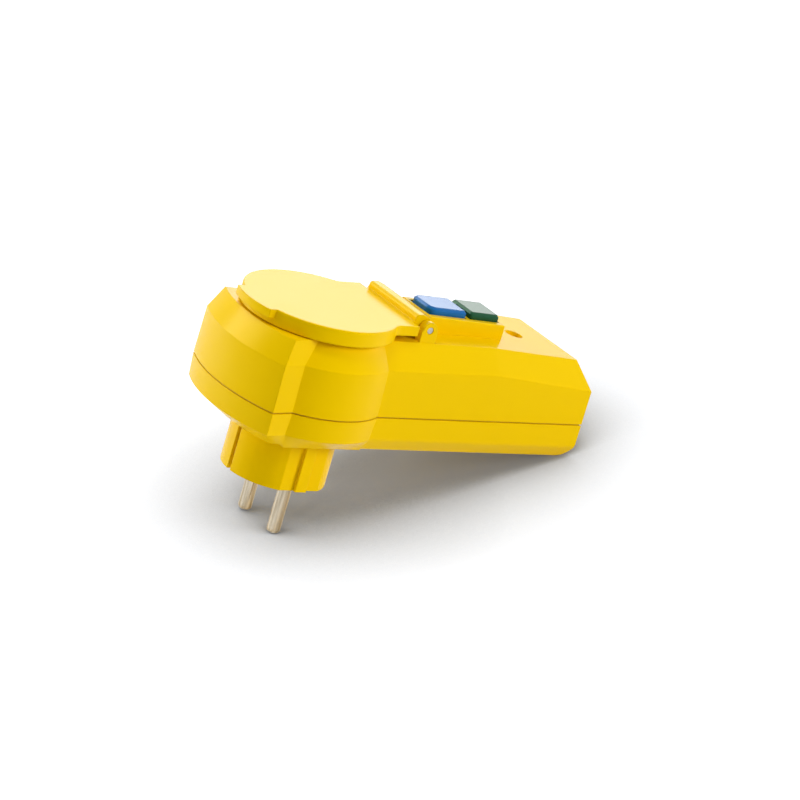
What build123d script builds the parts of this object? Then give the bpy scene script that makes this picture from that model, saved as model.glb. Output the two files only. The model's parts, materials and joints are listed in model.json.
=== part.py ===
"""Plug-in adapter with a residual current breaker, a sprung socket lid and two push buttons.

Millimetres. The origin is the middle of the plug's face, between its two pins.
+Z points up to the lid, +X along the tail, and the pins stand in a row along Y.
"""

import os
from collections import namedtuple
from math import cos, hypot, radians, sin, sqrt, tan

from build123d import *

os.makedirs("parts", exist_ok=True)

# Clearances shared by all pieces
running_gap = 0.05
fit_gap = 0.2
moving_gap = 0.3
overrun = 1.0

# Housing heights, from the plug's face
wall = 2.2
underside_z = 18.5
bevel_height = 5.3
seam_z = 32.2
seam_gap = 0.5
seal_inset = 0.5
chamfer_z = 49.4
rim_z = 57.8

# Socket, which sets the width of the housing and of the lid round it
socket_r = 19.5
socket_wall = 2.0
collar_gap = 0.2
collar_width = 3.1
shoulder_width = 6.1

# Head of the housing: a bowed end, a flat strip and a round bulge on each side
bulge_rim_run = 6.5
bulge_draft = 0.4
end_reach = 2.0
end_corner_x = -27.0
end_corner_run = 4.8
facet_x = -18.2
rim_end_x = -28.3
rim_corner_x = -23.8
rim_corner_run = 1.4
rim_facet_x = -12.6
base_end_x = -23.8
base_corner_x = -20.0
base_corner_y = 19.0
base_facet_x = -16.0

# Tail of the housing
tail_start_x = 8.0
tail_bend_x = 64.0
tail_end_x = 106.3
tail_side_run = 4.9
tail_base_run = 3.3
tail_base_r = 3.0
tail_top_run = 7.5
tail_end_top_run = 0.5
tail_bend_drop = 1.0
tail_end_drop = 4.4
tail_end_chamfer_drop = 4.3
tail_end_lean = 3.8
tail_corner_r = 6.5
tail_dimple_x = 86.4
tail_dimple_r = 3.25
tail_dimple_depth = 1.8

# Plug
plug_r = 18.6
plug_wall = 2.2
plug_face = 3.0
plug_flat_y = 16.8
plug_flat_width = 16.0
plug_rib_width = 4.6
plug_rib_height = 1.4
earth_slot_width = 1.8
earth_slot_depth = 3.6
pin_pitch = 19.0
pin_r = 2.4
pin_length = 19.0
pin_tip_r = 1.5
pin_neck_r = 2.2
pin_neck_length = 0.6
pin_root_r = 2.6
pin_collar_r = 3.1
pin_collar_height = 2.0
pin_tail_r = 1.6
pin_tail_length = 8.0

# Earth strips
earth_strip_t = 0.8
earth_strip_width = 1.4
earth_clip_width = 5.0
earth_clip_bow = 0.9
earth_post_r = 2.5

# Inside of the socket
socket_depth = 17.5
socket_floor = 3.0
socket_recess = 0.3
socket_rim_flange = 0.7
socket_rim_flange_height = 2.0
socket_flat_gap = 0.4
socket_flat_width = 15.2
earth_clip_drop = 3.5
pin_hole_r = 3.0
contact_r = 3.6
contact_height = 10.5
contact_slit = 1.0
busbar_t = 0.8
busbar_height = 4.0
busbar_y = 19.0
busbar_rise = 2.2
busbar_jog_x = 14.0
busbar_jog_length = 10.0
pillar_r = 1.8
pillar_circle_r = 19.0
pillar_angles = (35, 135, 225, 325)

# Collar round the socket mouth
collar_height = 2.3

# Lid
lid_lift = 1.3
lid_t = 2.2
skirt_gap = 1.0
skirt_t = 1.8
skirt_drop = 3.2
gasket_width = 2.6
gasket_gap = 0.2
gasket_t = 1.0
lip_length = 2.4
lip_drop = 3.1
lip_half_width = 10.6
lid_edge_r = 0.5
flange_half_width = 19.5
flange_front = 1.2
flange_t = 3.5
flange_blend_r = 5.0

# Lid hinge
hinge_reach = 7.2
hinge_sink = 1.8
hinge_pin_r = 1.2
hinge_pin_end = 0.1
barrel_r = 3.6
barrel_half_width = 14.9
barrel_front = 5.0
barrel_rise = 4.4
barrel_flat_front = 1.5
barrel_edge_r = 1.2
lug_r = 2.9
lug_width = 3.0
lug_base_front = 3.3
lid_spring_r = 2.0
lid_spring_wire_r = 0.35
lid_spring_end_gap = 1.1
lid_spring_half_width = 4.0

# Button platform
platform_x = 40.6
platform_end_x = 73.9
platform_half_width = 9.0
platform_rise = 5.6
platform_slope = 3.3
platform_wall = 1.5
platform_roof = 4.1
platform_edge_r = 0.5

# Buttons
button_half_width = 6.3
button_gap = 0.25
button_proud = 2.4
button_bevel = 0.8
button_corner_r = 1.0
test_button_x = 41.9
test_button_end_x = 58.2
test_button_round_r = 3.0
reset_button_x = 60.0
reset_button_end_x = 72.8
button_flange_half_width = 7.2
button_flange_t = 1.2
button_travel = 1.8
stem_r = 2.2
button_spring_r = 3.4
button_spring_wire_r = 0.35
guide_z = 49.5
guide_t = 1.8

# Circuit board
board_x = 34.0
board_end_x = 91.8
board_half_width = 19.5
board_z = 27.4
board_t = 1.6
board_post_r = 2.6
board_post_inset = 4.0
board_screw_r = 1.1
board_screw_length = 5.0
board_screw_head_r = 2.1
board_screw_head_height = 1.4

# Housing screws
head_screw_x = -16.5
head_screw_y = 19.5
tail_screw_x = 95.6
tail_screw_y = 17.0
screw_boss_r = 3.2
screw_r = 1.5
screw_head_r = 2.7
screw_head_height = 2.0
screw_sink = 5.0
screw_bite = 10.0
screw_slot_width = 0.8
screw_slot_depth = 0.9

# Sum current transformer
transformer_x = 37.4
transformer_length = 7.0
transformer_r = 9.0
transformer_bore_r = 4.2
transformer_wall = 0.8
transformer_foot = 0.6
wire_r = 1.2
wire_low_z = 24.0
wire_turn_x = 24.0
wire_turn_y = 3.5
wire_rise_x = 30.5
wire_end_x = 47.0
wire_pair_gap = 1.0

# Breaker contacts
contact_gap_spare = 0.1
bridge_t = 0.8
bridge_width = 5.0
bridge_y = 14.0
bridge_z = 42.8
fixed_contact_offset = 8.5
fixed_contact_width = 5.0
carrier_t = 2.0
carrier_half_length = 10.5
carrier_half_width = 17.0
hub_r = 5.4
hub_height = 5.0
hub_cap = 1.0
hub_pocket_r = 4.3
contact_spring_r = 3.5
contact_spring_wire_r = 0.3

# Holding relay
relay_frame_t = 1.2
relay_frame_half_length = 9.0
relay_frame_half_width = 5.0
bobbin_flange_r = 7.4
bobbin_flange_t = 1.0
bobbin_tube_wall = 0.8
bobbin_height = 10.2
coil_r = 6.8
plunger_r = 2.4
plunger_below_bobbin_top = 4.4

# Test circuit
test_post_r = 0.8
test_post_y = 3.4
test_bridge_t = 0.6
test_bridge_z = 45.6
test_bridge_half_length = 5.0
test_bridge_width = 3.0
test_resistor_r = 1.7
test_resistor_length = 9.0
test_resistor_x = 50.0
test_resistor_y = -11.5
resistor_lead_r = 0.4
resistor_lift = 1.0

# Other parts on the board
varistor_x = 84.0
varistor_y = 9.0
varistor_r = 5.5
varistor_t = 4.0
capacitor_x = 84.0
capacitor_y = -9.0
capacitor_r = 4.6
capacitor_height = 13.0
chip_x = 50.0
chip_y = 12.0
chip_length = 9.5
chip_width = 6.4
chip_height = 3.4
chip_lift = 0.5
lead_r = 0.4
lead_spread = 3.5

# Values that follow from the sizes above
socket_outer_r = socket_r + socket_wall
collar_inner_r = socket_outer_r + collar_gap
collar_r = collar_inner_r + collar_width
bulge_r = collar_r + shoulder_width
rim_bulge_r = bulge_r - bulge_rim_run
end_x = -bulge_r - end_reach
end_corner_y = bulge_r - end_corner_run
rim_corner_y = rim_bulge_r - rim_corner_run
tail_side_y = bulge_r - tail_side_run
tail_base_y = tail_side_y - tail_base_run
tail_top_y = tail_side_y - tail_top_run
tail_end_top_y = tail_top_y - tail_end_top_run
tail_end_chamfer_z = chamfer_z - tail_end_chamfer_drop
lid_r = collar_r + skirt_gap + skirt_t
lip_r = lid_r + lip_length
gasket_r = collar_r - gasket_gap
gasket_inner_r = gasket_r - gasket_width
flange_end_x = lid_r + flange_front
lid_under_z = rim_z + collar_height + lid_lift
lid_top_z = lid_under_z + lid_t
hinge_x = lid_r + hinge_reach
hinge_z = lid_top_z - hinge_sink
barrel_front_x = hinge_x - barrel_front
barrel_top_z = hinge_z + barrel_rise
barrel_flat_end_x = hinge_x - barrel_flat_front
platform_top_z = rim_z + platform_rise
platform_ceiling_z = platform_top_z - platform_roof
base_inner_z = underside_z + wall
top_inner_z = rim_z - wall
pin_y = pin_pitch / 2
lower_top_z = seam_z - seam_gap / 2
upper_base_z = seam_z + seam_gap / 2
board_top_z = board_z + board_t
socket_rim_z = rim_z + collar_height - socket_recess
socket_floor_z = socket_rim_z - socket_depth
socket_base_z = socket_floor_z - socket_floor
contact_base_z = socket_base_z - contact_height
busbar_z = contact_base_z + busbar_rise
cup_flange_r = socket_outer_r + socket_rim_flange
cup_flange_share = (cup_flange_r - tail_start_x) / (tail_bend_x - tail_start_x)
cup_flange_top_z = top_inner_z - tail_bend_drop * cup_flange_share
collar_top_z = rim_z + collar_height
reset_x = (reset_button_x + reset_button_end_x) / 2
test_x = (test_button_x + test_button_end_x) / 2
guide_top_z = guide_z + guide_t
carrier_z = bridge_z + bridge_t
fixed_contact_z = bridge_z - button_travel - contact_gap_spare
bobbin_z = board_top_z + relay_frame_t
bobbin_top_z = bobbin_z + bobbin_height
hub_top_z = carrier_z + hub_height

Outline = namedtuple("Outline", "end_x corner_x corner_y facet_x facet_y bulge_y joint_x joint_y")

# Shares of a wall by which an outline's corner points move inward with it
corner_x_share = 0.6
corner_y_share = 1.08
facet_x_share = 0.27
facet_y_share = 1.04


def bulged(end, corner_x, corner_y, facet, radius, side):
    """The outline of the head where its sides swell to a circle round the plug's axis."""
    facet_y = sqrt(radius**2 - facet**2)
    joint_x = sqrt(radius**2 - side**2)
    return Outline(end, corner_x, corner_y, facet, facet_y, radius, joint_x, side)


def inset(outline, amount):
    """The same outline moved inward by a wall."""
    return Outline(
        outline.end_x + amount,
        outline.corner_x + amount * corner_x_share,
        outline.corner_y - amount * corner_y_share,
        outline.facet_x + amount * facet_x_share,
        outline.facet_y - amount * facet_y_share,
        outline.bulge_y - amount,
        outline.joint_x,
        outline.joint_y - amount,
    )


def between(first, last, share):
    """The outline part of the way from one outline to another."""
    return Outline(*(a + (b - a) * share for a, b in zip(first, last)))


def head_sketch(outline, height):
    """A horizontal section of the head."""
    corner = (outline.corner_x, outline.corner_y)
    facet = (outline.facet_x, outline.facet_y)
    joint = (outline.joint_x, outline.joint_y)
    with BuildSketch(Plane.XY.offset(height)) as section:
        with BuildLine():
            ThreePointArc((corner[0], -corner[1]), (outline.end_x, 0), corner)
            Line(corner, facet)
            ThreePointArc(facet, (0, outline.bulge_y), joint)
            Line(joint, (joint[0], -joint[1]))
            ThreePointArc((joint[0], -joint[1]), (0, -outline.bulge_y), (facet[0], -facet[1]))
            Line((facet[0], -facet[1]), (corner[0], -corner[1]))
        make_face()
    return section.sketch


base_outline = Outline(
    base_end_x, base_corner_x, base_corner_y, base_facet_x,
    tail_base_y, tail_base_y + running_gap, -base_facet_x, tail_base_y,
)
seam_outline = bulged(end_x, end_corner_x, end_corner_y, facet_x, bulge_r, tail_side_y)
bevel_outline = bulged(
    end_x + bulge_draft, end_corner_x + bulge_draft, end_corner_y - bulge_draft,
    facet_x, bulge_r - bulge_draft, tail_side_y,
)
chamfer_outline = bulged(
    end_x, end_corner_x, end_corner_y - bulge_draft, facet_x, bulge_r - bulge_draft, tail_side_y
)
rim_outline = bulged(rim_end_x, rim_corner_x, rim_corner_y, rim_facet_x, rim_bulge_r, tail_top_y)
bevel_z = underside_z + bevel_height

# How much longer a wall measures along the level than square to the sloping faces
rim_slant = hypot(rim_z - chamfer_z, bulge_r - rim_bulge_r) / (rim_z - chamfer_z)
bevel_slant = hypot(bevel_height, bulge_r - tail_base_y) / bevel_height

tail_bend_z = rim_z - tail_bend_drop
tail_end_z = rim_z - tail_end_drop


def tail_line(bend_value, end_value, x):
    """A size of the tail's second stretch at a place along it."""
    return bend_value + (end_value - bend_value) * (x - tail_bend_x) / (tail_end_x - tail_bend_x)


def tail_sketch(x, side_y, shoulder_z, top_y, top_z):
    """An upright section of the tail above the seam."""
    with BuildSketch(Plane.YZ.offset(x)) as section:
        Polygon(
            (-side_y, lower_top_z), (side_y, lower_top_z), (side_y, shoulder_z),
            (top_y, top_z), (-top_y, top_z), (-side_y, shoulder_z),
            align=None,
        )
    return section.sketch


def tail_sections(amount):
    """The three sections of the tail, moved inward by a wall."""
    past_x = tail_end_x + overrun
    side = tail_side_y - amount
    shoulder_drop = amount * tan(radians(chamfer_angle / 2))
    top_in = amount * tan(radians((90 - chamfer_angle) / 2))
    end_shoulder = tail_line(chamfer_z, tail_end_chamfer_z, past_x)
    end_top_y = tail_line(tail_top_y, tail_end_top_y, past_x)
    end_top_z = tail_line(tail_bend_z, tail_end_z, past_x)
    return (
        tail_sketch(tail_start_x, side, chamfer_z - shoulder_drop, tail_top_y - top_in, rim_z - amount),
        tail_sketch(tail_bend_x, side, chamfer_z - shoulder_drop, tail_top_y - top_in, tail_bend_z - amount),
        tail_sketch(past_x, side, end_shoulder - shoulder_drop, end_top_y - top_in, end_top_z - amount),
    )


# Angle of the tail's long chamfer from the upright
chamfer_rise = rim_z - chamfer_z
chamfer_run = tail_side_y - tail_top_y
chamfer_angle = 90 - Vector(chamfer_run, chamfer_rise, 0).get_angle(Vector(chamfer_run, 0, 0))


def end_block(amount):
    """A block with the side view of the tail's end, moved inward by a wall."""
    end = tail_end_x - amount
    low = underside_z + amount
    corner = tail_corner_r - amount
    lean_rise = rim_z - tail_end_drop - tail_end_chamfer_z
    high = rim_z + overrun
    high_x = end - tail_end_lean * (high - tail_end_chamfer_z) / lean_rise
    diagonal = corner * sin(radians(45))
    with BuildPart() as block:
        with BuildSketch(Plane.XZ):
            with BuildLine():
                Line((end_x, low), (end - corner, low))
                ThreePointArc(
                    (end - corner, low),
                    (end - corner + diagonal, low + corner - diagonal),
                    (end, low + corner),
                )
                Polyline((end, low + corner), (end, tail_end_chamfer_z), (high_x, high), (end_x, high))
                Line((end_x, high), (end_x, low))
            make_face()
        extrude(amount=2 * bulge_r, both=True)
    return block.part


def seam_sketch(amount, height):
    """The whole outline at the seam, moved inward by an amount."""
    side = tail_side_y - amount
    with BuildSketch(Plane.XY.offset(height)) as ring:
        add(head_sketch(inset(seam_outline, amount), 0))
        with Locations((tail_start_x, 0)):
            Rectangle(
                tail_end_x - amount - tail_start_x, 2 * side, align=(Align.MIN, Align.CENTER)
            )
    return ring.sketch


def lower_body(amount, edge_r):
    """The lower half as a solid, moved inward by a wall, with or without rounded tail edges."""
    low = underside_z + amount
    share = amount / bevel_height
    base = inset(between(base_outline, bevel_outline, share), amount * bevel_slant)
    side = tail_side_y - amount
    base_y = tail_base_y - amount + (tail_side_y - tail_base_y) * share
    with BuildPart() as half:
        add(head_sketch(base, low))
        add(head_sketch(inset(bevel_outline, amount), bevel_z))
        add(head_sketch(inset(seam_outline, amount), lower_top_z))
        loft(ruled=True)
        with BuildSketch(Plane.YZ.offset(tail_start_x)) as tail:
            Polygon(
                (-base_y, low), (base_y, low), (side, bevel_z),
                (side, lower_top_z), (-side, lower_top_z), (-side, bevel_z),
                align=None,
            )
            if edge_r > 0:
                fillet(tail.vertices().sort_by(Axis.Y)[:4], radius=edge_r)
        extrude(amount=tail_end_x - tail_start_x, dir=(1, 0, 0))
        add(end_block(amount), mode=Mode.INTERSECT)
    return half.part


def upper_body(amount):
    """The upper half as a solid, moved inward by a wall."""
    top_z = rim_z - amount
    share = (top_z - chamfer_z) / (rim_z - chamfer_z)
    top = inset(between(chamfer_outline, rim_outline, share), amount * rim_slant)
    first, middle, last = tail_sections(amount)
    with BuildPart() as half:
        add(head_sketch(inset(seam_outline, amount), upper_base_z))
        add(head_sketch(inset(chamfer_outline, amount), chamfer_z))
        add(head_sketch(top, top_z))
        loft(ruled=True)
        add(first)
        add(middle)
        add(last)
        loft(ruled=True)
        with BuildSketch(Plane.XY.offset(upper_base_z)):
            Rectangle(2 * tail_end_x + 2 * bulge_r, 2 * bulge_r)
        extrude(amount=lower_top_z - upper_base_z - overrun, mode=Mode.SUBTRACT)
        add(end_block(amount), mode=Mode.INTERSECT)
    return half.part


def finish(piece, name):
    """Names a finished piece and writes it."""
    piece.part.label = name
    export_step(piece.part, f"parts/{name}.step")


housing_screw_places = [
    (x, side * y)
    for x, y in ((head_screw_x, head_screw_y), (tail_screw_x, tail_screw_y))
    for side in (-1, 1)
]
board_post_places = [
    (x, side * (board_half_width - board_post_inset))
    for x in (board_x + board_post_inset, board_end_x - board_post_inset)
    for side in (-1, 1)
]
pin_places = [(0, -pin_y), (0, pin_y)]
screw_head_top_z = underside_z + screw_sink


# Lower shell with the plug body
plug_inner_y = plug_flat_y - plug_wall
with BuildPart() as lower_cavity:
    add(lower_body(wall, 0))
    with BuildSketch(Plane.XY.offset(lower_top_z)):
        add(head_sketch(inset(seam_outline, wall), 0))
        with Locations((tail_start_x, 0)):
            Rectangle(
                tail_end_x - wall - tail_start_x, 2 * (tail_side_y - wall),
                align=(Align.MIN, Align.CENTER),
            )
    extrude(amount=overrun)
    with BuildSketch(Plane.XY.offset(underside_z)):
        with Locations(*housing_screw_places):
            Circle(screw_boss_r)
    extrude(amount=lower_top_z - underside_z, mode=Mode.SUBTRACT)
    with BuildSketch(Plane.XY.offset(underside_z)):
        with Locations(*board_post_places):
            Circle(board_post_r)
    extrude(amount=board_z - underside_z, mode=Mode.SUBTRACT)
    with BuildSketch(Plane.XY.offset(plug_face)):
        Circle(plug_r - plug_wall)
        Rectangle(2 * plug_r, 2 * plug_inner_y, mode=Mode.INTERSECT)
        with GridLocations(2 * plug_r, 0, 2, 1):
            Rectangle(
                2 * (earth_slot_depth + plug_wall), earth_slot_width + 2 * plug_wall,
                mode=Mode.SUBTRACT,
            )
    extrude(amount=base_inner_z - plug_face)

with BuildPart() as lower_shell:
    add(lower_body(0, tail_base_r))
    with BuildSketch():
        Circle(plug_r)
        with Locations((0, plug_r), (0, -plug_r)):
            Rectangle(plug_flat_width, 2 * (plug_r - plug_flat_y), mode=Mode.SUBTRACT)
        Rectangle(plug_rib_width, 2 * (plug_flat_y + plug_rib_height))
        with Locations((plug_r, 0), (-plug_r, 0)):
            Rectangle(2 * earth_slot_depth, earth_slot_width, mode=Mode.SUBTRACT)
    extrude(amount=underside_z)
    add(lower_cavity.part, mode=Mode.SUBTRACT)
    with BuildSketch(Plane.XY.offset(underside_z)):
        with Locations((plug_r - earth_slot_depth, 0)):
            Rectangle(
                earth_strip_t + 2 * fit_gap, earth_slot_width, align=(Align.MIN, Align.CENTER)
            )
        with Locations((earth_slot_depth - plug_r, 0)):
            Rectangle(
                earth_strip_t + 2 * fit_gap, earth_slot_width, align=(Align.MAX, Align.CENTER)
            )
    extrude(amount=wall, mode=Mode.SUBTRACT)
    with BuildSketch(Plane.XY.offset(base_inner_z)):
        for angle in pillar_angles:
            with Locations((pillar_circle_r * cos(radians(angle)), pillar_circle_r * sin(radians(angle)))):
                Circle(pillar_r)
    extrude(amount=socket_base_z - base_inner_z)
    with Locations(*(Location((x, y, plug_face)) for x, y in pin_places)):
        Hole(pin_root_r + running_gap, depth=plug_face)
    with Locations(*(Location((x, y, underside_z), (180, 0, 0)) for x, y in housing_screw_places)):
        CounterBoreHole(
            screw_r + running_gap, screw_head_r + fit_gap, screw_sink, depth=seam_z - underside_z
        )
    with Locations(*(Location((x, y, board_z)) for x, y in board_post_places)):
        Hole(board_screw_r + running_gap, depth=board_screw_length)
finish(lower_shell, "lower_shell")


# Upper shell with the collar, the hinge lugs and the button platform
slope_drop = tan(radians(platform_slope))


def platform_height(x):
    """Height of the platform's sloping top at a place along it."""
    return platform_top_z - (x - platform_x) * slope_drop


button_wells = (
    (test_button_x - button_gap, test_button_end_x + button_gap),
    (reset_button_x - button_gap, reset_button_end_x + button_gap),
)
well_half_width = platform_half_width - platform_wall
dimple_drop = tail_line(tail_bend_drop, tail_end_drop, tail_dimple_x)
dimple_floor_z = rim_z - dimple_drop - tail_dimple_depth
well_x = test_button_x - button_gap
well_end_x = reset_button_end_x + button_gap

with BuildPart() as upper_cavity:
    add(upper_body(wall))
    with BuildSketch(Plane.XY.offset(lower_top_z)):
        add(head_sketch(inset(seam_outline, wall), 0))
        with Locations((tail_start_x, 0)):
            Rectangle(
                tail_end_x - wall - tail_start_x, 2 * (tail_side_y - wall),
                align=(Align.MIN, Align.CENTER),
            )
    extrude(amount=seam_gap)
    with BuildSketch(Plane.XY.offset(lower_top_z)):
        with Locations(*housing_screw_places):
            Circle(screw_boss_r)
    extrude(amount=rim_z - lower_top_z, mode=Mode.SUBTRACT)
    with BuildSketch(Plane.XY.offset(guide_top_z)):
        with Locations((platform_x, 0)):
            Rectangle(
                platform_end_x - platform_x, 2 * platform_half_width,
                align=(Align.MIN, Align.CENTER),
            )
    extrude(amount=rim_z - guide_top_z, mode=Mode.SUBTRACT)
    with BuildSketch(Plane.XY.offset(guide_top_z)):
        with Locations((well_x, 0)):
            Rectangle(well_end_x - well_x, 2 * well_half_width, align=(Align.MIN, Align.CENTER))
    extrude(amount=platform_ceiling_z - guide_top_z)
    with BuildSketch(Plane.XY.offset(dimple_floor_z - wall)):
        with Locations((tail_dimple_x, 0)):
            Circle(tail_dimple_r + wall)
    extrude(amount=wall, mode=Mode.SUBTRACT)

with BuildPart() as platform_block:
    with BuildSketch(Plane.XZ):
        Polygon(
            (platform_x, top_inner_z), (platform_end_x, top_inner_z),
            (platform_end_x, platform_height(platform_end_x)), (platform_x, platform_top_z),
            align=None,
        )
    extrude(amount=platform_half_width, both=True)
    sloping_top = platform_block.faces().sort_by(Axis.Z)[-1]
    fillet(sloping_top.edges(), radius=platform_edge_r)

with BuildPart() as upper_shell:
    add(upper_body(0))
    with BuildSketch(Plane.XY.offset(top_inner_z)):
        Circle(collar_r)
    extrude(amount=collar_top_z - top_inner_z)
    add(platform_block.part)
    with BuildSketch(Plane.XZ):
        with Locations((hinge_x, hinge_z)):
            Circle(lug_r)
            Rectangle(
                2 * lug_base_front, hinge_z - top_inner_z, align=(Align.CENTER, Align.MAX)
            )
    extrude(amount=barrel_half_width + moving_gap + lug_width, both=True)
    with BuildSketch(Plane.XZ):
        with Locations((hinge_x, hinge_z)):
            Rectangle(
                2 * (barrel_r + overrun), 2 * (hinge_z - rim_z + tail_bend_drop / 2)
            )
    extrude(amount=barrel_half_width + moving_gap, both=True, mode=Mode.SUBTRACT)
    add(upper_cavity.part, mode=Mode.SUBTRACT)
    with Locations((0, 0, collar_top_z)):
        Hole(collar_inner_r, depth=collar_top_z - top_inner_z + overrun)
    for start, stop in button_wells:
        with BuildSketch(Plane.XY.offset(platform_ceiling_z - overrun)):
            with Locations(((start + stop) / 2, 0)):
                Rectangle(stop - start, 2 * (button_half_width + button_gap))
        extrude(amount=platform_top_z - platform_ceiling_z + 2 * overrun, mode=Mode.SUBTRACT)
    with Locations((hinge_x, 0, hinge_z)):
        Cylinder(
            hinge_pin_r + running_gap, 2 * tail_side_y, rotation=(90, 0, 0), mode=Mode.SUBTRACT
        )
    with Locations(*(Location((x, y, lower_top_z), (180, 0, 0)) for x, y in housing_screw_places)):
        Hole(screw_r + running_gap, depth=screw_bite + seam_gap)
    with BuildSketch(Plane.XY.offset(dimple_floor_z)):
        with Locations((tail_dimple_x, 0)):
            Circle(tail_dimple_r)
    extrude(amount=rim_z - dimple_floor_z, mode=Mode.SUBTRACT)
finish(upper_shell, "upper_shell")


# Rubber cord in the seam between the shells
with BuildPart() as shell_seal:
    with BuildSketch(Plane.XY.offset(lower_top_z)):
        add(seam_sketch(seal_inset, 0))
        add(seam_sketch(wall, 0), mode=Mode.SUBTRACT)
    extrude(amount=seam_gap)
finish(shell_seal, "shell_seal")


# Screws that hold the shells together, driven from below
with BuildPart() as housing_screws:
    with BuildSketch(Plane.XY.offset(screw_head_top_z - screw_head_height)):
        with Locations(*housing_screw_places):
            Circle(screw_head_r)
    extrude(amount=screw_head_height)
    with BuildSketch(Plane.XY.offset(screw_head_top_z)):
        with Locations(*housing_screw_places):
            Circle(screw_r)
    extrude(amount=lower_top_z + screw_bite - screw_head_top_z)
    with BuildSketch(Plane.XY.offset(screw_head_top_z - screw_head_height)):
        with Locations(*housing_screw_places):
            Rectangle(2 * screw_head_r - wall / 2, screw_slot_width)
            Rectangle(screw_slot_width, 2 * screw_head_r - wall / 2)
    extrude(amount=screw_slot_depth, mode=Mode.SUBTRACT)
finish(housing_screws, "housing_screws")


# Plug pins, each with a collar that bears on the inside of the plug's face
for name, side in (("live_pin", -1), ("neutral_pin", 1)):
    with BuildPart() as plug_pin:
        with BuildSketch(Plane.XY.offset(-pin_length)):
            with Locations((0, side * pin_y)):
                Circle(pin_r)
        extrude(amount=pin_length - pin_neck_length)
        fillet(plug_pin.edges().group_by(Axis.Z)[0], radius=pin_tip_r)
        with BuildSketch(Plane.XY.offset(-pin_neck_length)):
            with Locations((0, side * pin_y)):
                Circle(pin_neck_r)
        extrude(amount=pin_neck_length)
        with BuildSketch():
            with Locations((0, side * pin_y)):
                Circle(pin_root_r)
        extrude(amount=plug_face)
        with BuildSketch(Plane.XY.offset(plug_face)):
            with Locations((0, side * pin_y)):
                Circle(pin_collar_r)
        extrude(amount=pin_collar_height)
        with BuildSketch(Plane.XY.offset(plug_face + pin_collar_height)):
            with Locations((0, side * pin_y)):
                Circle(pin_tail_r)
        extrude(amount=pin_tail_length)
    finish(plug_pin, name)


# Insulating block that holds the pins down and carries the earth strip
collar_top = plug_face + pin_collar_height
pin_tail_top = collar_top + pin_tail_length
carrier_waist = pin_tail_length / 2
with BuildPart() as pin_carrier:
    with BuildSketch(Plane.XY.offset(collar_top)):
        Circle(plug_r - plug_wall - fit_gap)
        Rectangle(2 * plug_r, 2 * (plug_inner_y - fit_gap), mode=Mode.INTERSECT)
        with GridLocations(2 * plug_r, 0, 2, 1):
            Rectangle(
                2 * (earth_slot_depth + plug_wall + fit_gap),
                earth_slot_width + 2 * (plug_wall + fit_gap),
                mode=Mode.SUBTRACT,
            )
    extrude(amount=base_inner_z - collar_top)
    with Locations(*(Location((x, y, collar_top + carrier_waist)) for x, y in pin_places)):
        Hole(pin_tail_r + fit_gap, depth=carrier_waist)
    with BuildSketch(Plane.XY.offset(collar_top + carrier_waist)):
        with Locations(*pin_places):
            Circle(pin_collar_r)
    extrude(amount=base_inner_z - collar_top, mode=Mode.SUBTRACT)
finish(pin_carrier, "pin_carrier")


# Earth strip with a leg in each slot of the plug
plug_earth_x = plug_r - earth_slot_depth + fit_gap
plug_earth_top_z = base_inner_z + earth_strip_t
with BuildPart() as plug_earth_strip:
    with BuildSketch(Plane.XZ):
        Polygon(
            (-plug_earth_x - earth_strip_t, earth_strip_t), (-plug_earth_x, earth_strip_t),
            (-plug_earth_x, base_inner_z), (plug_earth_x, base_inner_z),
            (plug_earth_x, earth_strip_t), (plug_earth_x + earth_strip_t, earth_strip_t),
            (plug_earth_x + earth_strip_t, plug_earth_top_z),
            (-plug_earth_x - earth_strip_t, plug_earth_top_z),
            align=None,
        )
    extrude(amount=earth_strip_width / 2, both=True)
finish(plug_earth_strip, "plug_earth_strip")


# Post that joins the two earth strips
socket_earth_z = socket_base_z - earth_strip_t
with BuildPart() as earth_post:
    with BuildSketch(Plane.XY.offset(plug_earth_top_z)):
        RegularPolygon(earth_post_r, 6)
    extrude(amount=socket_earth_z - plug_earth_top_z)
finish(earth_post, "earth_post")


# Socket cup with flats, guide ribs and holes for the pins and earth clips
socket_flat_y = plug_flat_y + socket_flat_gap
rib_groove_width = plug_rib_width + 2 * socket_flat_gap
socket_guide_width = (socket_flat_width - rib_groove_width) / 2
clip_x = socket_r - earth_clip_bow - earth_strip_t
with BuildPart() as socket_cup:
    with BuildSketch(Plane.XY.offset(socket_base_z)):
        Circle(socket_outer_r)
    extrude(amount=socket_rim_z - socket_base_z)
    with BuildSketch(Plane.XY.offset(cup_flange_top_z)):
        Circle(cup_flange_r)
    extrude(amount=-socket_rim_flange_height)
    with BuildSketch(Plane.XY.offset(socket_floor_z)):
        Circle(socket_r)
        with GridLocations(socket_guide_width + rib_groove_width, 2 * socket_r, 2, 2):
            Rectangle(socket_guide_width, 2 * (socket_r - socket_flat_y), mode=Mode.SUBTRACT)
    extrude(amount=socket_depth, mode=Mode.SUBTRACT)
    with BuildSketch(Plane.XY.offset(socket_base_z)):
        with Locations(*pin_places):
            Circle(pin_hole_r)
        with GridLocations(2 * clip_x + earth_strip_t, 0, 2, 1):
            Rectangle(earth_strip_t + 2 * fit_gap, earth_clip_width + 2 * fit_gap)
    extrude(amount=socket_floor, mode=Mode.SUBTRACT)
finish(socket_cup, "socket_cup")


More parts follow.
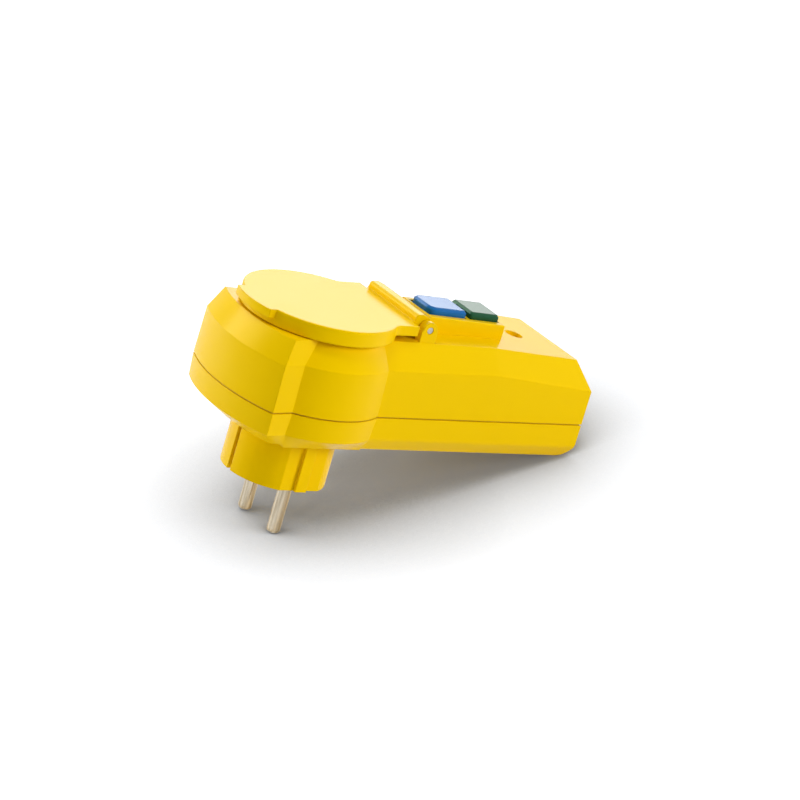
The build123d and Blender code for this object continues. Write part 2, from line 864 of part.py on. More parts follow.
# Earth strip of the socket with a bowed clip up each side of the cup
clip_top_z = socket_rim_z - earth_clip_drop
clip_mid_z = (socket_floor_z + clip_top_z) / 2
with BuildPart() as socket_earth_clip:
    for side in (-1, 1):
        with BuildSketch(Plane.XZ):
            with BuildLine():
                Line((side * clip_x, socket_earth_z), (side * clip_x, socket_floor_z))
                ThreePointArc(
                    (side * clip_x, socket_floor_z),
                    (side * (clip_x - earth_clip_bow), clip_mid_z),
                    (side * clip_x, clip_top_z),
                )
                Line((side * clip_x, clip_top_z), (side * (clip_x + earth_strip_t), clip_top_z))
                ThreePointArc(
                    (side * (clip_x + earth_strip_t), clip_top_z),
                    (side * (clip_x + earth_strip_t - earth_clip_bow), clip_mid_z),
                    (side * (clip_x + earth_strip_t), socket_floor_z),
                )
                Polyline(
                    (side * (clip_x + earth_strip_t), socket_floor_z),
                    (side * (clip_x + earth_strip_t), socket_earth_z),
                    (side * clip_x, socket_earth_z),
                )
            make_face()
        extrude(amount=earth_clip_width / 2, both=True)
    with BuildSketch(Plane.XY.offset(socket_earth_z)):
        Rectangle(2 * (clip_x + earth_strip_t), earth_clip_width)
    extrude(amount=earth_strip_t)
finish(socket_earth_clip, "socket_earth_clip")


# Socket contacts: a slit sleeve under each hole, with a busbar to the breaker
load_contact_x = reset_x + fixed_contact_offset
line_contact_x = reset_x - fixed_contact_offset
flange_reach = bridge_y - bridge_width / 2
for name, side in (("live_socket_contact", -1), ("neutral_socket_contact", 1)):
    start_y = pin_y + contact_r - busbar_t / 2
    with BuildPart() as socket_contact:
        with BuildSketch(Plane.XY.offset(contact_base_z)):
            with Locations((0, side * pin_y)):
                Circle(contact_r)
                Circle(pin_r + running_gap, mode=Mode.SUBTRACT)
            with Locations((-contact_r, side * pin_y)):
                Rectangle(2 * contact_r, contact_slit, mode=Mode.SUBTRACT)
        extrude(amount=contact_height)
        with BuildSketch(Plane.XY.offset(busbar_z)):
            with BuildLine():
                Polyline(
                    (0, side * start_y), (busbar_jog_x, side * start_y),
                    (busbar_jog_x + busbar_jog_length, side * busbar_y),
                    (load_contact_x + fixed_contact_width / 2, side * busbar_y),
                )
            trace(line_width=busbar_t)
        extrude(amount=busbar_height)
        with BuildSketch(Plane.XY.offset(busbar_z)):
            with Locations((load_contact_x, side * busbar_y)):
                Rectangle(fixed_contact_width, busbar_t)
        extrude(amount=fixed_contact_z - busbar_z)
        with BuildSketch(Plane.XY.offset(fixed_contact_z)):
            with Locations((load_contact_x, side * (busbar_y + flange_reach) / 2)):
                Rectangle(fixed_contact_width, busbar_y - flange_reach)
        extrude(amount=-busbar_t)
    finish(socket_contact, name)


# Line contacts that stand on the board
line_post_y = carrier_half_width + fit_gap - busbar_t
with BuildPart() as line_contacts:
    for side in (-1, 1):
        with BuildSketch(Plane.XY.offset(board_top_z)):
            with Locations((line_contact_x, side * line_post_y)):
                Rectangle(fixed_contact_width, busbar_t)
        extrude(amount=fixed_contact_z - board_top_z)
        with BuildSketch(Plane.XY.offset(fixed_contact_z)):
            with Locations((line_contact_x, side * (line_post_y + flange_reach) / 2)):
                Rectangle(fixed_contact_width, line_post_y - flange_reach)
        extrude(amount=-busbar_t)
finish(line_contacts, "line_contacts")


# Circuit board and its screws
with BuildPart() as circuit_board:
    with BuildSketch(Plane.XY.offset(board_z)):
        with Locations((board_x, 0)):
            Rectangle(
                board_end_x - board_x, 2 * board_half_width, align=(Align.MIN, Align.CENTER)
            )
        with Locations(*board_post_places):
            Circle(board_screw_r + running_gap, mode=Mode.SUBTRACT)
    extrude(amount=board_t)
finish(circuit_board, "circuit_board")

with BuildPart() as board_screws:
    with BuildSketch(Plane.XY.offset(board_top_z)):
        with Locations(*board_post_places):
            Circle(board_screw_head_r)
    extrude(amount=board_screw_head_height)
    with BuildSketch(Plane.XY.offset(board_top_z)):
        with Locations(*board_post_places):
            Circle(board_screw_r)
    extrude(amount=-board_screw_length)
    with BuildSketch(Plane.XY.offset(board_top_z + board_screw_head_height)):
        with Locations(*board_post_places):
            Rectangle(board_screw_head_r, screw_slot_width)
            Rectangle(screw_slot_width, board_screw_head_r)
    extrude(amount=-board_screw_head_height / 2, mode=Mode.SUBTRACT)
finish(board_screws, "board_screws")


# Sum current transformer: a ring core in a case that both wires pass through
transformer_z = board_top_z + transformer_foot + transformer_r
case_plane = Plane.YZ.offset(transformer_x)
with BuildPart() as transformer_case:
    with BuildSketch(case_plane):
        with Locations((0, transformer_z)):
            Circle(transformer_r)
            Circle(transformer_bore_r, mode=Mode.SUBTRACT)
    extrude(amount=transformer_length)
    with BuildSketch(case_plane):
        with Locations((0, transformer_z)):
            Circle(transformer_r - transformer_wall)
            Circle(transformer_bore_r + transformer_wall, mode=Mode.SUBTRACT)
    extrude(amount=transformer_length - transformer_wall, mode=Mode.SUBTRACT)
    with BuildSketch(Plane.XY.offset(board_top_z)):
        with Locations((transformer_x, 0)):
            Rectangle(transformer_length, transformer_r, align=(Align.MIN, Align.CENTER))
    extrude(amount=transformer_foot + transformer_wall)
finish(transformer_case, "transformer_case")

with BuildPart() as transformer_core:
    with BuildSketch(case_plane):
        with Locations((0, transformer_z)):
            Circle(transformer_r - transformer_wall - fit_gap)
            Circle(transformer_bore_r + transformer_wall + fit_gap, mode=Mode.SUBTRACT)
    extrude(amount=transformer_length - transformer_wall)
finish(transformer_core, "transformer_core")


# Insulated wires from the plug pins through the transformer to the board
wire_gap_y = wire_r + wire_pair_gap / 2
for name, side in (("live_wire", -1), ("neutral_wire", 1)):
    with BuildPart() as wire:
        with BuildLine():
            Polyline(
                (0, side * pin_y, pin_tail_top),
                (0, side * pin_y, wire_low_z),
                (wire_turn_x, side * wire_turn_y, wire_low_z),
                (wire_rise_x, side * wire_gap_y, transformer_z),
                (wire_end_x, side * wire_gap_y, transformer_z),
                (wire_end_x, side * wire_gap_y, board_top_z),
            )
        with BuildSketch(Plane.XY.offset(pin_tail_top)):
            with Locations((0, side * pin_y)):
                Circle(wire_r)
        sweep(transition=Transition.RIGHT)
    finish(wire, name)


# Guide plate under the platform, with a sleeve hole for each button's stem
with BuildPart() as button_guide:
    with BuildSketch(Plane.XY.offset(guide_z)):
        with Locations((platform_x, 0)):
            Rectangle(
                platform_end_x - platform_x, 2 * platform_half_width,
                align=(Align.MIN, Align.CENTER),
            )
        with Locations((test_x, 0), (reset_x, 0)):
            Circle(stem_r + running_gap, mode=Mode.SUBTRACT)
    extrude(amount=guide_t)
finish(button_guide, "button_guide")


def button(start, stop, round_r, stem_bottom_z):
    """A push button with a sloping top, side flanges that hold it in, and a stem."""
    middle = (start + stop) / 2
    flange_top_z = platform_ceiling_z - fit_gap
    flange_z = flange_top_z - button_flange_t
    top_start_z = platform_height(start) + button_proud
    top_stop_z = platform_height(stop) + button_proud
    with BuildPart() as key:
        with BuildSketch(Plane.XZ):
            Polygon(
                (start, flange_z), (stop, flange_z), (stop, top_stop_z), (start, top_start_z),
                align=None,
            )
        extrude(amount=button_half_width, both=True)
        corners = key.edges().filter_by(Axis.Z)
        front = corners.group_by(Axis.X)[0]
        back = corners.group_by(Axis.X)[-1]
        fillet(front, radius=round_r)
        fillet(back, radius=button_corner_r)
        top_face = key.faces().sort_by(Axis.Z)[-1]
        chamfer(top_face.edges(), length=button_bevel)
        with BuildSketch(Plane.XY.offset(flange_z)):
            with Locations((middle, 0)):
                Rectangle(stop - start - 2 * round_r, 2 * button_flange_half_width)
        extrude(amount=button_flange_t)
        with BuildSketch(Plane.XY.offset(stem_bottom_z)):
            with Locations((middle, 0)):
                Circle(stem_r)
        extrude(amount=flange_z - stem_bottom_z)
    return key


# Buttons
test_button = button(
    test_button_x, test_button_end_x, test_button_round_r, test_bridge_z + test_bridge_t
)
finish(test_button, "test_button")
reset_button = button(
    reset_button_x, reset_button_end_x, button_corner_r, hub_top_z + fit_gap
)
finish(reset_button, "reset_button")


def spring(center_x, bottom_z, top_z, coil_radius, wire_radius):
    """The sleeve of space that a compression spring fills between two heights."""
    with BuildPart() as coil:
        with BuildSketch(Plane.XY.offset(bottom_z)):
            with Locations((center_x, 0)):
                Circle(coil_radius + wire_radius)
                Circle(coil_radius - wire_radius, mode=Mode.SUBTRACT)
        extrude(amount=top_z - bottom_z)
    return coil


button_flange_z = platform_ceiling_z - fit_gap - button_flange_t
for name, center_x in (("test_spring", test_x), ("reset_spring", reset_x)):
    button_spring = spring(
        center_x, guide_top_z, button_flange_z,
        button_spring_r, button_spring_wire_r,
    )
    finish(button_spring, name)


# Brass strip on the foot of the test button's stem, and the posts that it bridges
with BuildPart() as test_bridge:
    with BuildSketch(Plane.XY.offset(test_bridge_z)):
        with Locations((test_x, 0)):
            Rectangle(test_bridge_width, 2 * test_bridge_half_length)
    extrude(amount=test_bridge_t)
finish(test_bridge, "test_bridge")

test_post_top_z = test_bridge_z - button_travel - contact_gap_spare
with BuildPart() as test_posts:
    with BuildSketch(Plane.XY.offset(board_top_z)):
        with Locations((test_x, test_post_y), (test_x, -test_post_y)):
            Circle(test_post_r)
    extrude(amount=test_post_top_z - board_top_z)
finish(test_posts, "test_posts")


# Contact carrier that the reset button pushes down
with BuildPart() as contact_carrier:
    with BuildSketch(Plane.XY.offset(carrier_z)):
        with Locations((reset_x, 0)):
            Rectangle(2 * carrier_half_length, 2 * carrier_half_width)
    extrude(amount=carrier_t)
    with BuildSketch(Plane.XY.offset(carrier_z)):
        with Locations((reset_x, 0)):
            Circle(hub_r)
    extrude(amount=hub_height)
    with BuildSketch(Plane.XY.offset(carrier_z)):
        with Locations((reset_x, 0)):
            Circle(hub_pocket_r)
    extrude(amount=hub_height - hub_cap, mode=Mode.SUBTRACT)
finish(contact_carrier, "contact_carrier")

with BuildPart() as bridge_contacts:
    with BuildSketch(Plane.XY.offset(bridge_z)):
        with Locations((reset_x, bridge_y), (reset_x, -bridge_y)):
            Rectangle(2 * carrier_half_length, bridge_width)
    extrude(amount=bridge_t)
finish(bridge_contacts, "bridge_contacts")

hub_ceiling_z = hub_top_z - hub_cap
plunger_base_z = bobbin_top_z - plunger_below_bobbin_top
with BuildPart() as relay_plunger:
    with BuildSketch(Plane.XY.offset(plunger_base_z)):
        with Locations((reset_x, 0)):
            Circle(plunger_r)
    extrude(amount=hub_ceiling_z - plunger_base_z)
finish(relay_plunger, "relay_plunger")

contact_spring = spring(
    reset_x, bobbin_top_z, hub_ceiling_z,
    contact_spring_r, contact_spring_wire_r,
)
finish(contact_spring, "contact_spring")


# Holding relay that keeps the contacts closed while there is power
with BuildPart() as relay_frame:
    with BuildSketch(Plane.XY.offset(board_top_z)):
        with Locations((reset_x, 0)):
            Rectangle(2 * relay_frame_half_length, 2 * relay_frame_half_width)
    extrude(amount=bobbin_top_z - board_top_z)
    with BuildSketch(Plane.XY.offset(bobbin_z)):
        with Locations((reset_x, 0)):
            Rectangle(
                2 * (relay_frame_half_length - relay_frame_t), 2 * bobbin_flange_r
            )
    extrude(amount=bobbin_height, mode=Mode.SUBTRACT)
finish(relay_frame, "relay_frame")

bobbin_bore_r = plunger_r + running_gap
bobbin_tube_r = bobbin_bore_r + bobbin_tube_wall
with BuildPart() as relay_bobbin:
    with BuildSketch(Plane.XY.offset(bobbin_z)):
        with Locations((reset_x, 0)):
            Circle(bobbin_flange_r)
    extrude(amount=bobbin_height)
    with BuildSketch(Plane.XY.offset(bobbin_z + bobbin_flange_t)):
        with Locations((reset_x, 0)):
            Circle(bobbin_flange_r)
            Circle(bobbin_tube_r, mode=Mode.SUBTRACT)
    extrude(amount=bobbin_height - 2 * bobbin_flange_t, mode=Mode.SUBTRACT)
    with Locations((reset_x, 0, bobbin_top_z)):
        Hole(bobbin_bore_r, depth=bobbin_height)
finish(relay_bobbin, "relay_bobbin")

with BuildPart() as relay_coil:
    with BuildSketch(Plane.XY.offset(bobbin_z + bobbin_flange_t)):
        with Locations((reset_x, 0)):
            Circle(coil_r)
            Circle(bobbin_tube_r, mode=Mode.SUBTRACT)
    extrude(amount=bobbin_height - 2 * bobbin_flange_t)
finish(relay_coil, "relay_coil")


# Loose parts soldered to the board
with BuildPart() as varistor:
    with BuildSketch(Plane.XZ.offset(-varistor_y - varistor_t / 2)):
        with Locations((varistor_x, board_top_z + lead_spread + varistor_r)):
            Circle(varistor_r)
    extrude(amount=varistor_t)
    chamfer(varistor.edges(), length=varistor_t / 4)
    with BuildSketch(Plane.XY.offset(board_top_z)):
        with Locations((varistor_x - lead_spread, varistor_y), (varistor_x + lead_spread, varistor_y)):
            Circle(lead_r)
    extrude(amount=lead_spread + varistor_r)
finish(varistor, "varistor")

with BuildPart() as smoothing_capacitor:
    with BuildSketch(Plane.XY.offset(board_top_z)):
        with Locations((capacitor_x, capacitor_y)):
            Circle(capacitor_r)
    extrude(amount=capacitor_height)
    chamfer(smoothing_capacitor.edges().group_by(Axis.Z)[-1], length=lead_r)
finish(smoothing_capacitor, "smoothing_capacitor")

with BuildPart() as control_chip:
    with BuildSketch(Plane.XY.offset(board_top_z + chip_lift)):
        with Locations((chip_x, chip_y)):
            Rectangle(chip_length, chip_width)
    extrude(amount=chip_height)
    with BuildSketch(Plane.XY.offset(board_top_z)):
        with Locations((chip_x, chip_y)):
            with GridLocations(chip_length / 4, chip_width, 4, 2):
                Rectangle(2 * lead_r, lead_r)
    extrude(amount=chip_lift + chip_height / 2)
finish(control_chip, "control_chip")

resistor_z = board_top_z + resistor_lift + test_resistor_r
resistor_half = test_resistor_length / 2
with BuildPart() as test_resistor:
    with BuildSketch(Plane.YZ.offset(test_resistor_x - resistor_half)):
        with Locations((test_resistor_y, resistor_z)):
            Circle(test_resistor_r)
    extrude(amount=test_resistor_length)
    with BuildLine():
        Polyline(
            (test_resistor_x - resistor_half - 2 * resistor_lift, test_resistor_y, board_top_z),
            (test_resistor_x - resistor_half - 2 * resistor_lift, test_resistor_y, resistor_z),
            (test_resistor_x + resistor_half + 2 * resistor_lift, test_resistor_y, resistor_z),
            (test_resistor_x + resistor_half + 2 * resistor_lift, test_resistor_y, board_top_z),
        )
    with BuildSketch(Plane.XY.offset(board_top_z)):
        with Locations((test_resistor_x - resistor_half - 2 * resistor_lift, test_resistor_y)):
            Circle(resistor_lead_r)
    sweep(transition=Transition.RIGHT)
finish(test_resistor, "test_resistor")


# Lid with a skirt, a finger lip, the hinge flange and the barrel
flange_under_z = lid_top_z - flange_t
skirt_z = lid_under_z - skirt_drop
with BuildPart() as lid:
    with BuildSketch(Plane.XY.offset(flange_under_z)) as plate:
        Circle(lid_r)
        Rectangle(
            flange_end_x, 2 * flange_half_width, align=(Align.MIN, Align.CENTER)
        )
        roots = plate.vertices().group_by(Axis.X)[-2]
        fillet(roots, radius=flange_blend_r)
    extrude(amount=flange_t)
    top_edges = lid.faces().sort_by(Axis.Z)[-1].edges()
    fillet(top_edges.sort_by(Axis.X)[:-1], radius=lid_edge_r)
    with BuildSketch(Plane.XY.offset(skirt_z)):
        Circle(lid_r)
    extrude(amount=skirt_drop)
    with BuildSketch(Plane.XY.offset(lid_top_z - lip_drop)):
        with BuildLine():
            lip_x = sqrt(lip_r**2 - lip_half_width**2)
            ThreePointArc((-lip_x, -lip_half_width), (-lip_r, 0), (-lip_x, lip_half_width))
            Polyline(
                (-lip_x, lip_half_width), (-lid_r / 2, lip_half_width),
                (-lid_r / 2, -lip_half_width), (-lip_x, -lip_half_width),
            )
        make_face()
    extrude(amount=lip_drop)
    with BuildSketch(Plane.XZ):
        with BuildLine():
            CenterArc((hinge_x, hinge_z), barrel_r, 0, 360)
            CenterArc(
                (barrel_front_x + barrel_edge_r, barrel_top_z - barrel_edge_r), barrel_edge_r, 0, 360
            )
            Line((barrel_front_x, flange_under_z), (barrel_front_x, lid_top_z))
            Line((barrel_flat_end_x - barrel_edge_r, barrel_top_z), (barrel_flat_end_x, barrel_top_z))
        make_hull()
    extrude(amount=barrel_half_width, both=True)
    with BuildSketch(Plane.XZ):
        with Locations((flange_end_x, flange_under_z)):
            Rectangle(
                barrel_front_x - flange_end_x + barrel_edge_r, flange_t,
                align=(Align.MIN, Align.MIN),
            )
    extrude(amount=barrel_half_width, both=True)
    with BuildSketch(Plane.XY.offset(skirt_z)):
        Circle(lid_r - skirt_t)
    extrude(amount=skirt_drop, mode=Mode.SUBTRACT)
    with Locations((hinge_x, 0, hinge_z)):
        Cylinder(
            hinge_pin_r + running_gap, 2 * tail_side_y, rotation=(90, 0, 0), mode=Mode.SUBTRACT
        )
    with BuildSketch(Plane.XZ):
        with Locations((hinge_x, hinge_z)):
            Circle(lid_spring_r + lid_spring_wire_r + running_gap + fit_gap)
            Rectangle(
                2 * (lid_spring_r + lid_spring_wire_r + running_gap + fit_gap), 2 * barrel_r,
                align=(Align.CENTER, Align.MAX),
            )
    extrude(amount=lid_spring_half_width + lid_spring_end_gap, both=True, mode=Mode.SUBTRACT)
finish(lid, "lid")


# Soft ring under the lid that closes on the collar
with BuildPart() as lid_gasket:
    with BuildSketch(Plane.XY.offset(lid_under_z)):
        Circle(gasket_r)
        Circle(gasket_inner_r, mode=Mode.SUBTRACT)
    extrude(amount=-gasket_t)
finish(lid_gasket, "lid_gasket")


# Steel pin of the lid's hinge
pin_half_length = barrel_half_width + moving_gap + lug_width - hinge_pin_end
with BuildPart() as lid_hinge_pin:
    with Locations((hinge_x, 0, hinge_z)):
        Cylinder(hinge_pin_r, 2 * pin_half_length, rotation=(90, 0, 0))
    chamfer(lid_hinge_pin.edges().filter_by(GeomType.CIRCLE), length=hinge_pin_end)
finish(lid_hinge_pin, "lid_hinge_pin")


# Spring round the hinge pin that closes the lid
with BuildPart() as lid_spring:
    with BuildSketch(Plane.XZ):
        with Locations((hinge_x, hinge_z)):
            Circle(lid_spring_r + lid_spring_wire_r)
            Circle(lid_spring_r - lid_spring_wire_r, mode=Mode.SUBTRACT)
    extrude(amount=lid_spring_half_width, both=True)
finish(lid_spring, "lid_spring")
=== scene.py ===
"""Looks of the plug-in adapter: glossy yellow mouldings, two coloured buttons and plated pins."""

import json
import math

import bpy
from mathutils import Matrix, Vector

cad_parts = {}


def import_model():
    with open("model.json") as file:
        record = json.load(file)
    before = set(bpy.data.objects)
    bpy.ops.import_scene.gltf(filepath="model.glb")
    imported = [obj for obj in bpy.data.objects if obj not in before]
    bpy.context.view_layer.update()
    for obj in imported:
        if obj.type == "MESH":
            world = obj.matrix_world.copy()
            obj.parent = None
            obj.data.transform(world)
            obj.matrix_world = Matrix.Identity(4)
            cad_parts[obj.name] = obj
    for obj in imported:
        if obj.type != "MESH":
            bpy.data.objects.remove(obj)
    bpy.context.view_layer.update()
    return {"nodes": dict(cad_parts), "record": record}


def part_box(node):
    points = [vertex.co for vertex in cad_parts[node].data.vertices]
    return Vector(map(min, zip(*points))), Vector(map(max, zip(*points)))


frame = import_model()
nodes = frame["nodes"]

MM = 0.001

# Camera, from the photograph's viewpoint
CAMERA_PLACE = Vector((-0.9864, -1.2611, 0.5595))
CAMERA_TARGET = Vector((0.04148, -0.00486, 0.03016))
CAMERA_UP = Vector((-0.0325, 0.4106, 0.9112))
CAMERA_LENS = 221.6
CAMERA_SENSOR = 36.0
CAMERA_REACH = 20.0

# The surface that the object rests on: it touches the pin tips and the tail's lower end
FLOOR_TILT = math.radians(20.3)
FLOOR_SIZE = 4.0
FLOOR_COLOR = (0.9, 0.9, 0.9)
FLOOR_ROUGHNESS = 0.7
FLOOR_SPECULAR = 0.2

# How the camera sees that surface: a little of its lit colour with the real shadow, and a glow
# that is white in the open and weak where the object is near, which is painted shade. The object
# counts most on the side that the lean points to
FLOOR_SHOWN = (0.19, 0.202, 0.225)
FLOOR_GLOW = 1.0
FLOOR_GLOW_LOW = 0.09
SHADE_REACH = 0.064
SHADE_START = 0.43
SHADE_LEAN = (-0.50, -0.12, 0.86)
SHADE_SAMPLES = 16

# Light of the surround on the object, and what the camera and reflections see of it
SURROUND_LIGHT = 0.30
SURROUND_WHITE = 1.0

# Surface detail: sizes of the noise in a metre, and how far edges look rounded
TONE_SCALE = 14.0
GLOSS_SCALE = 45.0
GRAIN_SCALE = 900.0
GRAIN_DEPTH = 0.02 * MM
METAL_GLOSS_SCALE = 180.0
METAL_MARK_DEPTH = 0.01 * MM
METAL_MARK_STRENGTH = 0.1
METAL_TONE_RANGE = (0.38, 0.66)
EDGE = 0.45 * MM
BUTTON_EDGE = 0.9 * MM
METAL_EDGE = EDGE / 2
EDGE_SAMPLES = 6

materials = {}


def material(name):
    """A new node material, its node tree and its shader."""
    mat = bpy.data.materials.new(name)
    mat.use_nodes = True
    tree = mat.node_tree
    return mat, tree, tree.nodes["Principled BSDF"]


def add_node(tree, kind, **inputs):
    """A node of a kind, with values for its inputs by name."""
    node = tree.nodes.new(kind)
    for key, value in inputs.items():
        node.inputs[key].default_value = value
    return node


def noise(tree, scale, detail=3.0, stretch=1.0):
    """Fine noise in the object's own space, drawn out along Z where a stretch is given."""
    coords = tree.nodes.new("ShaderNodeTexCoord")
    drawn = add_node(tree, "ShaderNodeMapping", Scale=(1.0, 1.0, 1.0 / stretch))
    texture = add_node(tree, "ShaderNodeTexNoise", Scale=scale, Detail=detail)
    tree.links.new(coords.outputs["Object"], drawn.inputs["Vector"])
    tree.links.new(drawn.outputs["Vector"], texture.inputs["Vector"])
    return texture.outputs["Fac"]


def spread(tree, value, low, high, start=0.0, end=1.0):
    """A value between a start and an end mapped to a range."""
    node = tree.nodes.new("ShaderNodeMapRange")
    node.inputs["From Min"].default_value = start
    node.inputs["From Max"].default_value = end
    node.inputs["To Min"].default_value = low
    node.inputs["To Max"].default_value = high
    tree.links.new(value, node.inputs["Value"])
    return node.outputs["Result"]


def mixed(tree, value, first, second):
    """Two colours mixed by a value."""
    node = tree.nodes.new("ShaderNodeMix")
    node.data_type = "RGBA"
    node.inputs["A"].default_value = (*first, 1)
    node.inputs["B"].default_value = (*second, 1)
    tree.links.new(value, node.inputs["Factor"])
    return node.outputs["Result"]


def bumped(tree, shader, height, strength, distance, edge):
    """Fine relief on the shader's normal, over edges that look rounded."""
    rounded = add_node(tree, "ShaderNodeBevel", Radius=edge)
    rounded.samples = EDGE_SAMPLES
    node = add_node(tree, "ShaderNodeBump", Strength=strength, Distance=distance)
    tree.links.new(height, node.inputs["Height"])
    tree.links.new(rounded.outputs["Normal"], node.inputs["Normal"])
    tree.links.new(node.outputs["Normal"], shader.inputs["Normal"])


def plastic(name, color, shade, roughness, grain=0.06, ior=1.45, tint=None, edge=EDGE):
    """Moulded plastic: slight colour variation, fine surface grain and uneven gloss."""
    mat, tree, shader = material(name)
    tone = noise(tree, TONE_SCALE)
    tree.links.new(mixed(tree, tone, color, shade), shader.inputs["Base Color"])
    patches = noise(tree, GLOSS_SCALE, detail=5.0)
    gloss = spread(tree, patches, roughness * 0.85, roughness * 1.2)
    tree.links.new(gloss, shader.inputs["Roughness"])
    shader.inputs["IOR"].default_value = ior
    if tint:
        shader.inputs["Specular Tint"].default_value = (*tint, 1)
    bumped(tree, shader, noise(tree, GRAIN_SCALE, detail=2.0), grain, GRAIN_DEPTH, edge)
    materials[name] = mat


def metal(name, color, shade, roughness, scale=400.0, stretch=1.0):
    """Plated or plain metal with fine marks, drawn out along Z where a stretch is given; there the
    light and dark streaks are partly a drawn finish and partly painted reflection.
    """
    mat, tree, shader = material(name)
    marks = noise(tree, scale, detail=4.0, stretch=stretch)
    tone = spread(tree, marks, 0.0, 1.0, *METAL_TONE_RANGE)
    tree.links.new(mixed(tree, tone, color, shade), shader.inputs["Base Color"])
    patches = noise(tree, METAL_GLOSS_SCALE, detail=5.0)
    gloss = spread(tree, patches, roughness * 0.7, roughness * 1.4)
    tree.links.new(gloss, shader.inputs["Roughness"])
    shader.inputs["Metallic"].default_value = 1.0
    bumped(tree, shader, marks, METAL_MARK_STRENGTH, METAL_MARK_DEPTH, METAL_EDGE)
    materials[name] = mat


def dress():
    """The material of each piece, by its slot in the record."""
    plastic(
        "yellow_plastic", (0.90, 0.585, 0.0), (0.88, 0.57, 0.0), 0.22,
        ior=1.27, tint=(1.0, 0.7, 0.0),
    )
    plastic(
        "blue_plastic", (0.0, 0.12, 0.38), (0.0, 0.11, 0.35), 0.12,
        ior=1.6, tint=(0.3, 0.55, 1.0), edge=BUTTON_EDGE,
    )
    plastic(
        "green_plastic", (0.006, 0.070, 0.028), (0.005, 0.060, 0.024), 0.15,
        ior=1.42, tint=(0.5, 1.0, 0.6), edge=BUTTON_EDGE,
    )
    plastic("grey_plastic", (0.30, 0.31, 0.32), (0.27, 0.28, 0.29), 0.45)
    plastic("black_plastic", (0.02, 0.02, 0.02), (0.03, 0.03, 0.03), 0.4)
    # The pins' light and dark streaks along Z are partly a drawn finish and partly painted
    # reflection of the surround
    metal(
        "nickel_plate", (0.72, 0.64, 0.50), (0.44, 0.37, 0.26), 0.17,
        scale=900.0, stretch=20.0,
    )
    metal("steel", (0.62, 0.62, 0.63), (0.54, 0.54, 0.55), 0.3)
    metal("brass", (0.78, 0.56, 0.22), (0.70, 0.48, 0.18), 0.3)
    plastic("ferrite", (0.04, 0.04, 0.045), (0.06, 0.06, 0.065), 0.6)
    plastic("rubber", (0.62, 0.38, 0.0), (0.56, 0.34, 0.0), 0.6)
    plastic("board", (0.01, 0.12, 0.04), (0.008, 0.1, 0.035), 0.35)
    plastic("winding", (0.45, 0.17, 0.05), (0.38, 0.13, 0.04), 0.4, grain=0.3)
    plastic("brown_insulation", (0.16, 0.06, 0.02), (0.13, 0.05, 0.02), 0.4)
    plastic("blue_insulation", (0.02, 0.1, 0.45), (0.02, 0.08, 0.38), 0.4)
    plastic("component_blue", (0.03, 0.12, 0.4), (0.02, 0.1, 0.34), 0.35)
    for part in frame["record"]["subparts"]:
        obj = nodes[part["node"]]
        obj.data.materials.clear()
        obj.data.materials.append(materials[part["material_slot"]])

    # The strip in the plug's side slots is darkened as painted shade of the slot, as the slot is
    # dark in the photograph
    metal("nickel_darkened_as_painted_shade", (0.16, 0.12, 0.07), (0.10, 0.07, 0.04), 0.45)
    nodes["plug_earth_strip"].data.materials[0] = materials["nickel_darkened_as_painted_shade"]


def floor_material():
    """A pale surface that the camera sees as white with the object's shade, partly real shadow and
    partly painted shade, and not from below.
    """
    mat, tree, shader = material("floor")
    shader.inputs["Base Color"].default_value = (*FLOOR_COLOR, 1)
    shader.inputs["Roughness"].default_value = FLOOR_ROUGHNESS
    shader.inputs["Specular IOR Level"].default_value = FLOOR_SPECULAR
    rays = tree.nodes.new("ShaderNodeLightPath")
    geometry = tree.nodes.new("ShaderNodeNewGeometry")
    pale = add_node(tree, "ShaderNodeBsdfDiffuse", Color=(*FLOOR_SHOWN, 1))
    # Painted shade: occlusion by the object weakens the glow that the camera sees
    near = add_node(tree, "ShaderNodeAmbientOcclusion", Distance=SHADE_REACH)
    near.samples = SHADE_SAMPLES
    lean_x, lean_y, lean_z = SHADE_LEAN
    lean = add_node(tree, "ShaderNodeCombineXYZ", X=lean_x, Y=lean_y, Z=lean_z)
    tree.links.new(lean.outputs[0], near.inputs["Normal"])
    glow = add_node(tree, "ShaderNodeEmission")
    glow_with_painted_shade = spread(tree, near.outputs["AO"], FLOOR_GLOW_LOW, FLOOR_GLOW, SHADE_START)
    tree.links.new(glow_with_painted_shade, glow.inputs["Strength"])
    clear = tree.nodes.new("ShaderNodeBsdfTransparent")
    lit = tree.nodes.new("ShaderNodeAddShader")
    seen = tree.nodes.new("ShaderNodeMixShader")
    side = tree.nodes.new("ShaderNodeMixShader")
    tree.links.new(pale.outputs[0], lit.inputs[0])
    tree.links.new(glow.outputs[0], lit.inputs[1])
    tree.links.new(rays.outputs["Is Camera Ray"], seen.inputs[0])
    tree.links.new(shader.outputs[0], seen.inputs[1])
    tree.links.new(lit.outputs[0], seen.inputs[2])
    tree.links.new(geometry.outputs["Backfacing"], side.inputs[0])
    tree.links.new(seen.outputs[0], side.inputs[1])
    tree.links.new(clear.outputs[0], side.inputs[2])
    tree.links.new(side.outputs[0], tree.nodes["Material Output"].inputs["Surface"])
    return mat


def floor():
    """The surface under the object, tilted as it rests on its pin tips and its tail."""
    mesh = bpy.data.meshes.new("floor")
    half = FLOOR_SIZE / 2
    corners = [(-half, -half, 0), (half, -half, 0), (half, half, 0), (-half, half, 0)]
    mesh.from_pydata(corners, [], [(0, 1, 2, 3)])
    mesh.materials.append(floor_material())
    obj = bpy.data.objects.new("floor", mesh)
    bpy.context.scene.collection.objects.link(obj)
    pin_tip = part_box("live_pin")[0].z
    tilt = Matrix.Rotation(-FLOOR_TILT, 4, "Y")
    obj.matrix_world = Matrix.Translation((0, 0, pin_tip)) @ tilt


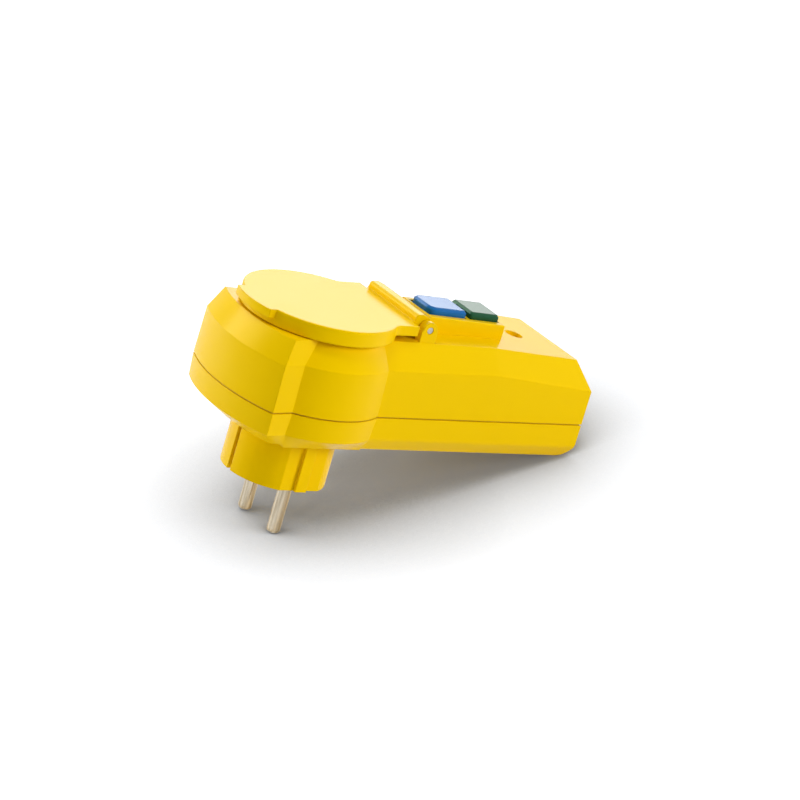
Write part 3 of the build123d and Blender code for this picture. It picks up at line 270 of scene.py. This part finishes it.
def world():
    """A white surround: plain light on the object, and pure white to the camera and mirrors."""
    surround = bpy.data.worlds.new("surround")
    bpy.context.scene.world = surround
    surround.use_nodes = True
    tree = surround.node_tree
    light = tree.nodes["Background"]
    light.inputs["Color"].default_value = (1, 1, 1, 1)
    light.inputs["Strength"].default_value = SURROUND_LIGHT
    white = add_node(
        tree, "ShaderNodeBackground", Color=(1, 1, 1, 1), Strength=SURROUND_WHITE
    )
    rays = tree.nodes.new("ShaderNodeLightPath")
    mix = tree.nodes.new("ShaderNodeMixShader")
    shown = tree.nodes.new("ShaderNodeMath")
    shown.operation = "MAXIMUM"
    tree.links.new(rays.outputs["Is Camera Ray"], shown.inputs[0])
    tree.links.new(rays.outputs["Is Glossy Ray"], shown.inputs[1])
    tree.links.new(shown.outputs[0], mix.inputs[0])
    tree.links.new(light.outputs[0], mix.inputs[1])
    tree.links.new(white.outputs[0], mix.inputs[2])
    tree.links.new(mix.outputs[0], tree.nodes["World Output"].inputs["Surface"])


def lamp(name, place, target, power, width, height, mirrored=True):
    """A soft lamp aimed at a point, out of the camera's sight."""
    data = bpy.data.lights.new(name, "AREA")
    data.shape = "RECTANGLE"
    data.size = width
    data.size_y = height
    data.energy = power
    obj = bpy.data.objects.new(name, data)
    bpy.context.scene.collection.objects.link(obj)
    obj.location = place
    aim = Vector(target) - Vector(place)
    obj.rotation_euler = aim.to_track_quat("-Z", "Y").to_euler()
    obj.visible_camera = False
    obj.visible_glossy = mirrored


def lamps():
    """Studio light: a key lamp from above, and soft ones all round."""
    lamp("key", (-0.33, 0.02, 1.22), (0.03, 0, 0.0), 3.4, 0.38, 0.38, mirrored=False)
    lamp("back", (0.95, 1.15, 0.44), (0.03, 0, 0.05), 6.1, 1.0, 1.0)
    lamp("rim", (-0.33, 1.04, 0.87), (0.0, 0, 0.05), 3.2, 1.1, 0.35)
    lamp("left", (-0.80, 0.80, 0.27), (0.0, 0, 0.03), 7.6, 0.6, 0.6)
    lamp("right", (0.66, -0.95, 0.70), (0.03, 0, 0.03), 9.7, 0.5, 0.5, mirrored=False)


def camera():
    """The photograph's viewpoint."""
    data = bpy.data.cameras.new("camera")
    data.lens = CAMERA_LENS
    data.sensor_width = CAMERA_SENSOR
    data.sensor_fit = "HORIZONTAL"
    data.clip_end = CAMERA_REACH
    obj = bpy.data.objects.new("camera", data)
    bpy.context.scene.collection.objects.link(obj)
    back = (CAMERA_PLACE - CAMERA_TARGET).normalized()
    right = CAMERA_UP.cross(back).normalized()
    up = back.cross(right)
    turn = Matrix((right, up, back)).transposed().to_4x4()
    obj.matrix_world = Matrix.Translation(CAMERA_PLACE) @ turn
    bpy.context.scene.camera = obj


dress()
floor()
world()
lamps()
camera()
bpy.context.scene.view_settings.view_transform = "Standard"
